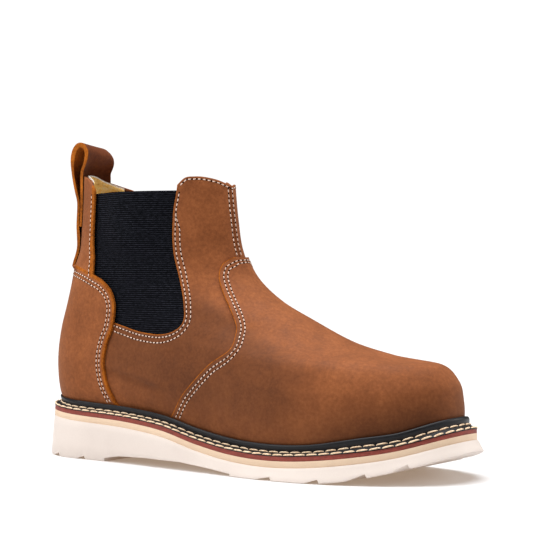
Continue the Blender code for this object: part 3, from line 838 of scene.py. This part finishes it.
def make_sole_layers():
    turns = turns_round()
    edge, sink = welt_width(turns), EDGE_SINK + toe_sink(turns)
    make_layer("tan_slip_sole", edge, GAP + MIDSOLE, SLIP_SOLE + GAP, TAN, "slip_sole_rubber", "slip_sole")
    make_layer("red_midsole", edge - 0.15, sink, MIDSOLE + GAP - sink, RED, "midsole_leather", "midsole")
    make_layer("sock_insole", np.full(turns.shape, INSOLE_INSET), -GAP - INSOLE, INSOLE, SOCK,
               "insole_board", "insole")


def outsole_bottom(x):
    return SPRING_HEIGHT * np.maximum((x - SPRING_START) / SPRING_LENGTH, 0) ** SPRING_POWER


def across_cutter(outline):
    """Bar across the sole with a side outline of stations."""
    points = [(x, y, z) for y in (-CUT_HALF_WIDTH, CUT_HALF_WIDTH) for x, z in outline]
    count = len(outline)
    faces = [list(range(count)), list(range(2 * count - 1, count - 1, -1))]
    faces += [[k, (k + 1) % count, count + (k + 1) % count, count + k] for k in range(count)]
    return body_of("cutter", np.array(points), faces)


def groove_outline(groove):
    end = groove.x + groove.length
    rear, front = outsole_bottom(groove.x), outsole_bottom(end)
    return [Station(groove.x - CUT_BELOW, rear - CUT_BELOW), Station(groove.x, rear - CUT_SKIM),
            Station(end - LUG_STEP, front + LUG_DEPTH), Station(end, front - CUT_SKIM),
            Station(end + CUT_SKIM, rear - CUT_BELOW)]


def make_outsole():
    turns = turns_round()
    flare = FLARE_HEEL + (FLARE_TOE - FLARE_HEEL) * reach_at(turns)
    drop = GAP + MIDSOLE + SLIP_SOLE + GAP
    rings = []
    for wall in SIDE_WALL:
        ring = level(turns, welt_width(turns) + (wall.out * flare - wall.tuck), drop)
        ring[:, 2] += wall.down * (outsole_bottom(ring[:, 0]) - ring[:, 2])
        rings.append(ring)
    outsole = ring_body("cream_outsole", np.array(rings))
    for outline in [ARCH] + [groove_outline(groove) for groove in GROOVES]:
        cutter = across_cutter(outline)
        modify(outsole, "BOOLEAN", operation="DIFFERENCE", solver="EXACT", object=cutter)
        bpy.data.objects.remove(cutter)
    edit_all(bpy.ops.mesh.remove_doubles, threshold=2e-5)
    round_edges(outsole, 0.4, 38)
    smooth_shade(outsole, 35)
    paint(outsole, OFF_WHITE)
    place(outsole, "outsole_rubber", "outsole")


def hug_overlay(turns, rise, out):
    """Ring against the overlays, a little higher round the toe and closer in round the heel."""
    reach = reach_at(turns)
    rises = rise + TOE_BEAD * (0.8 * ramp(0.75, 0.88, reach) + ramp(0.92, 1.0, reach))
    return lifted(turns, rises, overlay_top(rises) + GAP + out * (0.4 + 0.6 * ramp(0.0, 0.12, reach)))


def welt_flange(turns, share):
    """Points on the flange's sloping top, from the bead's foot (0) to the outer edge (1)."""
    foot = hug_overlay(turns, BEAD[-1].rise, BEAD[-1].out)
    edge = level(turns, welt_width(turns), toe_sink(turns) - FLANGE)
    return foot + (edge - foot) * share


def make_welt():
    """Black welt: a rounded bead against the upper, a groove at its foot and a sloping flange."""
    turns = turns_round(256)
    edge, sink = welt_width(turns), toe_sink(turns)
    section = [level(turns, np.full(turns.shape, overlay_top(0) + GAP), -GAP)]
    for step in np.linspace(0, len(BEAD) - 1, 19):
        section.append(hug_overlay(turns, row_value(BEAD, "rise", step), row_value(BEAD, "out", step)))
    section += [welt_flange(turns, hollow.share) - (0, 0, hollow.sink) for hollow in FLANGE_HOLLOW]
    section += [level(turns, edge, sink + 0.15 - FLANGE), level(turns, edge, sink + EDGE_SINK)]
    section = np.array(section[::-1]).transpose(1, 0, 2)
    welt = lay(add_primitive("black_welt", bpy.ops.mesh.primitive_torus_add,
                             major_segments=section.shape[0], minor_segments=section.shape[1]), section)
    edit_all(bpy.ops.mesh.normals_make_consistent, inside=False)
    smooth_shade(welt, 50)
    paint(welt, WELT_BLACK)
    place(welt, "welt_leather", "welt")


# Leather pieces

def seated(points):
    """Keeps the points of a panel, or of its lowest row, clear of the sole."""
    points[..., 2] = np.maximum(points[..., 2], sole_top(points[..., 0]) + GAP)


def painted_shade_at(turns, rises):
    """Painted shade on the leather: darker on the flanks, more near the welt, and most round the toe."""
    reach = reach_at(turns)
    amount = 0.32 * ramp(0.22, 0.40, reach) + 0.42 * ramp(0.72, 0.92, reach)
    low = (amount - 0.35 * ramp(0.975, 1.0, reach)) * (1 - ramp(0.6, 3.6, rises))
    flank = ramp(0.12, 0.25, reach) * (1 - ramp(0.68, 0.82, reach))
    return low + 0.42 * flank * ramp(0.8, 3.0, rises) * (1 - ramp(6.5, 8.5, rises))


def stacked(columns):
    """Turns and rises of a grid from its columns, each a pair of turns and rises."""
    return [np.stack(part, 1) for part in zip(*columns)]


def panel_grid(lines, across, middle):
    """Turns and rises of a grid from an edge to its mirror image on the other side.

    lines are the edge and two lines set in from it, and across is the sum of a turn and its image.
    """
    edge, rises = lines[-1]
    inner = [(edge + (across - 2 * edge) * q, rises) for q in np.linspace(0, 1, middle)[1:-1]]
    return stacked(lines + inner + [(across - turns, rises) for turns, rises in lines[::-1]])


def make_vamp():
    whole = edge_line(VAMP_EDGE, 110)
    side = whole[0] < TONGUE_SIDE
    edge = (whole[0][side], whole[1][side])
    lines = edge_lines(edge, VAMP_INSETS)
    for _, rises in lines[1:]:
        rises[0] = 0.0
    turns, rises = panel_grid(lines, 1, 150)
    rises[-1] = np.interp(np.minimum(turns[-1], 1 - turns[-1]), *whole)
    points = hide_point(turns, rises, overlay_top(rises))
    seated(points[:1])
    # The vamp gets painted shade on its flanks, near the welt and round the toe
    vamp = leather_panel("vamp_leather", points, LEATHER, (BROWN, RAW_EDGE), edge_faces(points, 1, 1),
                         painted_shade=painted_shade_at(turns, rises))
    place(vamp, "upper_leather", "vamp")


def make_counter():
    lines = edge_lines(edge_line(COUNTER_EDGE, 90), COUNTER_INSETS)
    for turns, rises in lines[1:]:
        np.clip(turns, 0, None, out=turns)
        turns[-1] = rises[0] = 0.0
    turns, rises = panel_grid([(-turns, rises) for turns, rises in lines], 0, 70)
    points = hide_point(turns, rises, overlay_top(rises))
    seated(points[:1])
    counter = leather_panel("counter_leather", points, LEATHER, (BROWN, RAW_EDGE),
                            edge_faces(points, 2, 2), 0.6)
    place(counter, "upper_leather", "counter")


def make_back_strip():
    edge, rises = edge_line(BACK_STRIP_EDGE, 60)
    edge = np.append(edge, edge[-1])
    share = np.concatenate([[-1, -0.965, -0.92], np.linspace(-0.88, 0.88, 36), [0.92, 0.965, 1]])
    turns = edge[:, None] * share
    rises = climbing(rises[0], collar_rise(turns[-1]), len(edge))
    points = hide_point(turns, rises, overlay_top(rises))
    strip = leather_panel("back_strip_leather", points, LEATHER, (BROWN, RAW_EDGE),
                          edge_faces(points, 2, 2))
    place(strip, "strap_leather", "back_strip")


def quarter_grid(seam):
    """Turns and rises of a quarter, from its edge round the gore to its far edge at the front seam."""
    count = 170
    knots = edge_knots(QUARTER_EDGE)[2]
    at = np.linspace(0, knots[-1], count)
    far_turns = np.interp(at, knots, turn_at([row.far_reach for row in QUARTER_EDGE]))
    far_turns = far_turns + (seam - 0.5) * ramp(0.40, 0.5, far_turns)
    far_rises = np.interp(at, knots, [row.far_rise for row in QUARTER_EDGE])
    near = edge_lines(edge_line(QUARTER_EDGE, count), QUARTER_INSETS)
    left, low = near[-1]
    turns, rises = stacked(near + [(left + (far_turns - left) * q, low + (far_rises - low) * q)
                                   for q in np.linspace(0, 1, 46)[1:]])
    rises = np.maximum(rises, 0)
    collar = collar_rise(turns[-1] if seam < 0.5 else 1 - turns[-1])
    return turns, rises + ramp(0.86, 1.0, at / knots[-1])[:, None] * (collar - rises[-1])


def make_quarters():
    for seam, name in ((SEAM, "quarter_outer_leather"), (1 - SEAM, "quarter_inner_leather")):
        turns, rises = quarter_grid(seam - SEAM_GAP)
        outer = seam < 0.5
        turns = turns if outer else 1 - turns
        points = hide_point(turns, rises, np.zeros(turns.shape))
        seated(points)
        order = slice(None, None, 1 if outer else -1)
        # The quarters get the same painted shade
        quarter = leather_panel(name, points[:, order], QUARTER, (BROWN, RAW_EDGE),
                                edge_faces(points, 1)[:, order], 0.3, painted_shade_at(turns, rises)[:, order])
        place(quarter, "upper_leather", "upper")


def gore_front(rises, beyond, most):
    """Turns of the elastic's front edge, lapped under the quarter and a little beyond that."""
    reach = table_value(GORE_FRONT, "rise", "reach", rises) + GORE_LAP + beyond
    return turn_at(np.minimum(reach, most))


def make_gores():
    near, far = turn_at(GORE_REAR), gore_front(np.linspace(GORE_FOOT, GORE_HEAD, 60), 0, 0.9)
    turns = near + (far - near)[:, None] * np.linspace(0, 1, 60)
    rises = climbing(GORE_FOOT, rise_at_height(turns[-1], GORE_TOP), 60)
    for name, node in (("gore_outer_elastic", "gore_outer"), ("gore_inner_elastic", "gore_inner")):
        hem = HEM * np.exp(-((last_point(turns, rises)[..., 2] - GORE_TOP + 0.6) / 0.7) ** 2)
        points = lifted(turns, rises, hem - ELASTIC_SINK)
        place(leather_panel(name, points, ELASTIC, (ELASTIC_BLACK,), bevel=0.2), "elastic", node)
        turns, rises = 1 - turns[:, ::-1], rises[:, ::-1]


def make_lining():
    """Lining: a sock round the foot, a heel lining, a leather stay outside it and a front lining."""
    turns = np.append(turns_round(200), 1.0)
    foot = lifted(turns, np.linspace(0, SOCK_TOP, 30)[:, None], -LINING_SINK)
    seated(foot[:1])
    heel_turn = float(turn_at(GORE_REAR)) - HEEL_CLEAR
    turns = np.linspace(-heel_turn, heel_turn, 50)
    top = collar_rise(turns) - LINING_SHORT
    heel = lifted(turns, climbing(SHAFT_FOOT, top - lining_step(turns), 70), -LINING_SINK)
    stay = lifted(turns, climbing(SHAFT_FOOT, top, 70), -STAY_SINK)
    near = gore_front(np.linspace(SHAFT_FOOT, FRONT_HEAD, 60), FRONT_CLEAR, 0.92)[:, None]
    turns = near + (1 - 2 * near) * np.linspace(0, 1, 50)
    front = lifted(turns, climbing(SHAFT_FOOT, collar_rise(turns[-1]) - LINING_SHORT, 60), -LINING_SINK)
    for name, points, thickness, finish in (
            ("foot_lining", foot, LINING, GOLD), ("heel_lining", heel, LINING, GOLD),
            ("back_stay_leather", stay, QUARTER, BROWN), ("front_lining", front, LINING, GOLD)):
        panel = leather_panel(name, points, thickness, (finish,), bevel=LINING_BEVEL)
        place(panel, "upper_leather", "upper")
    make_collar_tape(heel_turn)


def lining_step(turn):
    """How far the lining stops below the leather on the inner side of the back."""
    return LINING_STEP * ramp(0.02, 0.06, -turn)


def make_collar_tape(heel_turn):
    """Pale tape between the lining and the leather along the back of the collar."""
    turns = np.linspace(-heel_turn, heel_turn, 60)
    top = collar_rise(turns) - lining_step(turns)
    points = lifted(turns, top + np.linspace(-0.10, 0.035, 6)[:, None], -TAPE_SINK)
    place(leather_panel("collar_tape", points, TAPE, (WHITE_TAPE,), bevel=0.05), None)


def strap_half_turn(rise, lift):
    """Turn at which a lifted surface lies half the strap's width off the middle of the back."""
    turn = np.full(rise.shape, STRAP_FIRST_TURN)
    for _ in range(STRAP_TRIES):
        turn = turn * STRAP_HALF / -lifted(turn, rise, lift)[..., 1]
    return turn


def loop_point(share, inward, height):
    """Point of the pull loop: its legs follow the back of the boot and its top stands clear."""
    rise = rise_at_height(np.zeros_like(height[:, :1]), np.minimum(height[:, :1], LAST[-1].back_z))
    rise = rise + 0 * height
    lift = np.maximum(-inward, LEG_LIFT)
    half_turn = strap_half_turn(rise, lift)
    free = ramp(FREE_FROM, FREE_AT, height)
    turn = share * half_turn * (1 - FAR_TAPER * free * (share < 0))
    point, edge = lifted(turn, rise, lift), lifted(half_turn, rise, lift)
    above = height - last_point(np.zeros_like(height), rise)[..., 2]
    point[..., 0] += np.maximum(inward + LEG_LIFT, 0) + STRAP_FLAT * free * (edge - point)[..., 0]
    point[..., 2] += above - free * (STRAP_ROLL * point[..., 1] + FAR_DROOP * ramp(0.62, 1.1, -share))
    return point


def make_pull_loop():
    """Doubled strap with raw edges, its rough flesh side turned into the eye."""
    along = np.linspace(0, len(LOOP) - 1, 5 * len(LOOP))
    inward, height = row_value(LOOP, "inward", along), row_value(LOOP, "z", along)
    run = unit(np.stack([np.gradient(inward), np.gradient(height)], -1))
    share = np.concatenate([[-1, -0.97, -0.92], np.linspace(-0.85, 0.85, 14), [0.92, 0.97, 1]])
    free = ramp(FREE_FROM, FREE_AT, height)
    half = (STRAP + (STRAP_TOP - STRAP) * free) / 2
    nap = EYE_NAP * free + FOOT_NAP * ramp(FOOT_FROM, FOOT_AT, height)
    sides = []
    for away in (half + nap, -half):
        side_in = (inward + away * run[:, 1])[:, None] + 0 * share
        side_up = (height - away * run[:, 0])[:, None] + 0 * share
        sides.append(loop_point(share + 0 * side_in, side_in, side_up))
    points = np.array(sides)
    index = np.arange(points.size // 3).reshape(points.shape[:3])
    faces, marks = [], []
    for face, flesh in zip(index, (True, False)):
        quads = np.stack([face[:-1, :-1], face[:-1, 1:], face[1:, 1:], face[1:, :-1]], -1)
        faces += quads.reshape(-1, 4).tolist()
        marks += (edge_faces(sides[0], 1, 1) | flesh).ravel().tolist()
    inner, outer = index
    for a, b in ((inner[:, 0], outer[:, 0]), (inner[:, -1], outer[:, -1]),
                 (inner[0], outer[0]), (inner[-1], outer[-1])):
        faces += np.stack([a[:-1], a[1:], b[1:], b[:-1]], -1).tolist()
    marks += [True] * (len(faces) - len(marks))
    loop = body_of("pull_loop_strap", points.reshape(-1, 3), faces)
    paint(loop, DARK_BROWN, RAW_EDGE)
    loop.data.polygons.foreach_set("material_index", np.array(marks, np.int32))
    round_edges(loop, 0.35)
    smooth_shade(loop)
    place(loop, "strap_leather", "pull_loop")


# Stitches

def one_stitch(thread):
    """One thread stitch lying along X: a ball drawn out, pressed flat and given its twist."""
    ball = add_primitive("ball", bpy.ops.mesh.primitive_uv_sphere_add, segments=thread.segments,
                         ring_count=thread.rings, radius=1)
    mesh = ball.data
    points = np.array([vertex.co[:] for vertex in mesh.vertices])[:, [2, 0, 1]]
    faces = sorted(list(face.vertices) for face in mesh.polygons)
    bpy.data.objects.remove(ball)
    bpy.data.meshes.remove(mesh)
    x = np.sign(points[:, 0]) * np.abs(points[:, 0]) ** 0.85
    around = np.arctan2(points[:, 2], points[:, 1])
    radius = np.hypot(points[:, 1], points[:, 2]) ** 0.7
    radius = radius * (1 + thread.twist * np.cos(2 * around - x * 7))
    y, z = radius * np.cos(around) / 2, radius * np.sin(around) / 2
    sag = -0.35 * np.abs(x) ** 4
    return np.stack([x / 2 * thread.length, y * thread.width, (z + sag) * thread.height], 1), faces


def spaced(points, normals, pitch):
    """Places along a line of points, a pitch apart: centres, directions and normals."""
    run = np.concatenate([[0], np.cumsum(np.linalg.norm(np.diff(points, axis=0), axis=1))])
    count = max(int(round(run[-1] / pitch)), 1)
    at = (np.arange(count) + 0.5) * run[-1] / count

    def pick(values, where):
        return np.stack([np.interp(where, run, values[:, k]) for k in range(3)], 1)

    step = 0.25 * run[-1] / count
    along = unit(pick(points, np.minimum(at + step, run[-1])) - pick(points, np.maximum(at - step, 0)))
    up = pick(normals, at)
    up = unit(up - along * (up * along).sum(1, keepdims=True))
    return pick(points, at), along, up


def copies(shape, centres, along, up, angle):
    """A small shape repeated at many places and turned by an angle at each: its points and faces."""
    points, faces = shape
    turned = along * np.cos(angle)[:, None] + np.cross(up, along) * np.sin(angle)[:, None]
    axes = np.stack([turned, np.cross(up, turned), up], 1)
    laid = centres[:, None, :] + points @ axes
    many = [[k * len(points) + v for v in face] for k in range(len(centres)) for face in faces]
    return laid.reshape(-1, 3), many


def joined(name, groups, finish):
    points, faces, start = [], [], 0
    for some_points, some_faces in groups:
        points.append(some_points)
        faces += [[v + start for v in face] for face in some_faces]
        start += len(some_points)
    piece = body_of(name, np.concatenate(points), faces)
    smooth_shade(piece, 80)
    paint(piece, finish)
    place(piece, None)


def leather_row(turns, rises, lift):
    """A line for stitches on the leather: its points and normals."""
    return hide_point(turns, rises, lift), outward(turns, rises)


def both_sides(turns, rises):
    """A line for stitches on an overlay, and its mirror image."""
    return [leather_row(side, rises, overlay_top(rises)) for side in (turns, 1 - turns)]


def vamp_rows():
    """Rows along the vamp's edge, led on smoothly to the middle of the tongue."""
    edge = edge_line(VAMP_EDGE, 240)
    closing = 1 - 0.4 * ramp(0.82, 1.0, np.linspace(0, 1, 240))
    for distance in VAMP_ROWS:
        turns, rises = inset_line(*edge, -distance * closing[:, None])
        keep = (rises > ROW_FOOT) & (turns < 0.5)
        turns, rises = turns[keep], rises[keep]
        slope = (rises[-1] - rises[-8]) / (turns[-1] - turns[-8])
        left = 0.5 - turns[-1]
        on = np.linspace(0, left, 12)[1:]
        rises = np.append(rises, rises[-1] + slope * (on - on ** 2 / (2 * left)))
        yield from both_sides(np.append(turns, turns[-1] + on), rises)


def quarter_rows(seam, outer):
    """Rows along a quarter's edge round the gore, its collar and the front seam."""
    turns, rises = quarter_grid(seam - SEAM_GAP)
    edge = (turns[:, 0], rises[:, 0])
    done = np.linspace(0, 1, len(turns))
    lines = []
    for distance, last in QUARTER_ROWS:
        away = distance - (distance - QUARTER_ROW) * ramp(last - 0.05, last, done)
        line = inset_line(*edge, -away[:, None])
        keep = (line[0] > turn_at(QUARTER_ROW_START)) & (done < last)
        lines.append((line[0][keep], line[1][keep]))
    line = inset_line(turns[-1, 1:], rises[-1, 1:], -COLLAR_ROW)
    lines.append((line[0][:-1], line[1][:-1]))
    lines.append(inset_line(np.full(60, seam), np.linspace(SEAM_FOOT, rises[-1, -1] - 0.1, 60), SEAM_ROW))
    for turns, rises in lines:
        yield leather_row(turns if outer else 1 - turns, rises, np.zeros(len(turns)))


def seam_rows():
    """Every row of stitches on the upper."""
    yield from vamp_rows()
    edge = edge_line(COUNTER_EDGE, 240)
    for distance in COUNTER_ROWS:
        turns, rises = inset_line(*edge, distance)
        keep = (rises > ROW_FOOT) & (turns > 0.0)
        yield from both_sides(turns[keep], rises[keep])
    yield from quarter_rows(SEAM, True)
    yield from quarter_rows(1 - SEAM, False)
    yield from both_sides(*inset_line(*edge_line(BACK_STRIP_EDGE, 80), STRIP_ROW))


def sew_upper():
    shake = np.random.default_rng(11)
    stitch, hole_shade = one_stitch(STITCH), one_stitch(HOLE_SHADE)
    threads, hole_shades = [], []
    for points, normals in seam_rows():
        centres, along, up = spaced(points, normals, STITCH_PITCH)
        centres = centres + up * STITCH_LIFT
        angle = SLANT + shake.normal(0, UNEVEN, len(centres))
        threads.append(copies(stitch, centres, along, up, angle))
        # A dark spot of painted shade at each needle hole between stitches
        hole_shades.append(copies(hole_shade, centres + along * STITCH_PITCH / 2, along, up, 0 * angle))
    joined("upper_stitches", threads, IVORY)
    joined("needle_hole_shade", hole_shades, HOLE_SHADE_FINISH)


def sew_welt():
    """Two rows of thick thread on the welt's slope: one by the bead's foot and one along its edge."""
    shake = np.random.default_rng(5)
    stitch = one_stitch(WELT_STITCH)
    turns = turns_round(500)
    slope = unit(welt_flange(turns, 1.0) - welt_flange(turns, 0.0))
    groups = []
    for share, start in ((0.10, 0), (0.90, 3)):
        line, across = (np.roll(part, start, axis=0) for part in (welt_flange(turns, share), slope))
        line, across = np.vstack([line, line[:1]]), np.vstack([across, across[:1]])
        normals = unit(np.cross(across, unit(np.gradient(line, axis=0))))
        centres, along, up = spaced(line, normals * np.sign(normals[:, 2:3]), WELT_PITCH)
        angle = SLANT + shake.normal(0, UNEVEN, len(centres))
        groups.append(copies(stitch, centres + up * WELT_LIFT, along, up, angle))
    joined("welt_threads", groups, CREAM)


# Stage

def make_floor():
    """Pale floor with a painted glow: it glows a little, so that the shadow on it stays soft and warm."""
    floor = add_primitive("studio_floor", bpy.ops.mesh.primitive_grid_add, x_subdivisions=8,
                          y_subdivisions=8, size=30)
    finish = Finish("pale_floor", 0.9, 0.1)
    finish.colour(finish.noise(3, 2), (0.3, (0.51, 0.54, 0.57)), (0.7, (0.52, 0.55, 0.58)))
    # Painted glow, warm, which lifts the boot's shadow; the cool base colour keeps the lit floor white
    finish.settle({"Emission Color": (0.23, 0.168, 0.122, 1), "Emission Strength": 1.0})
    paint(floor, finish.material)


def add_light(name, kind, energy, place_at, look_at, **values):
    data = bpy.data.lights.new(name, kind)
    data.energy = energy
    for setting, value in values.items():
        setattr(data, setting, value)
    lamp = bpy.data.objects.new(name, data)
    bpy.context.scene.collection.objects.link(lamp)
    lamp.location = place_at
    lamp.rotation_euler = (Vector(look_at) - Vector(place_at)).to_track_quat("-Z", "Y").to_euler()


def light_studio():
    """Warm fill from all round, white behind the boot to the camera, an overhead light and two boxes."""
    world = bpy.data.worlds.new("studio")
    bpy.context.scene.world = world
    world.use_nodes = True
    nodes, links = world.node_tree.nodes, world.node_tree.links
    fill, seen = nodes["Background"], nodes.new("ShaderNodeBackground")
    for node, colour, strength in ((fill, (1.0, 0.90, 0.80, 1), 0.13), (seen, (1, 1, 1, 1), 1.05)):
        node.inputs["Color"].default_value = colour
        node.inputs["Strength"].default_value = strength
    path, mix = nodes.new("ShaderNodeLightPath"), nodes.new("ShaderNodeMixShader")
    links.new(path.outputs["Is Camera Ray"], mix.inputs["Fac"])
    links.new(fill.outputs["Background"], mix.inputs[1])
    links.new(seen.outputs["Background"], mix.inputs[2])
    links.new(mix.outputs["Shader"], nodes["World Output"].inputs["Surface"])
    add_light("overhead_sun", "SUN", 5.1, (-0.03, -0.05, 1.0), (0, 0, 0), angle=np.radians(60))
    add_light("heel_softbox", "AREA", 2.7, (-0.44, -0.60, 0.45), (-0.06, 0, 0.14), size=0.4)
    add_light("toe_softbox", "AREA", 5.0, (0.95, 0.75, 0.55), (0.1, 0, 0.05), size=0.6)


def set_camera():
    """Camera at the photograph's place: level, a metre away, a little above the boot's middle."""
    data = bpy.data.cameras.new("camera")
    data.sensor_fit = "HORIZONTAL"
    data.sensor_width = SENSOR
    data.lens = FOCAL_PIXELS / PHOTO_PIXELS * SENSOR
    camera = bpy.data.objects.new("camera", data)
    side = np.radians(CAMERA_SIDE)
    camera.location = (np.sin(side), -np.cos(side), CAMERA_HEIGHT)
    camera.rotation_euler = (np.radians(90), 0, np.radians(CAMERA_AIM))
    bpy.context.scene.collection.objects.link(camera)
    bpy.context.scene.camera = camera


make_outsole()
make_sole_layers()
make_welt()
make_quarters()
make_vamp()
make_counter()
make_back_strip()
make_gores()
make_lining()
make_pull_loop()
sew_upper()
sew_welt()
make_floor()
light_studio()
set_camera()
bpy.context.scene.view_settings.view_transform = "Standard"
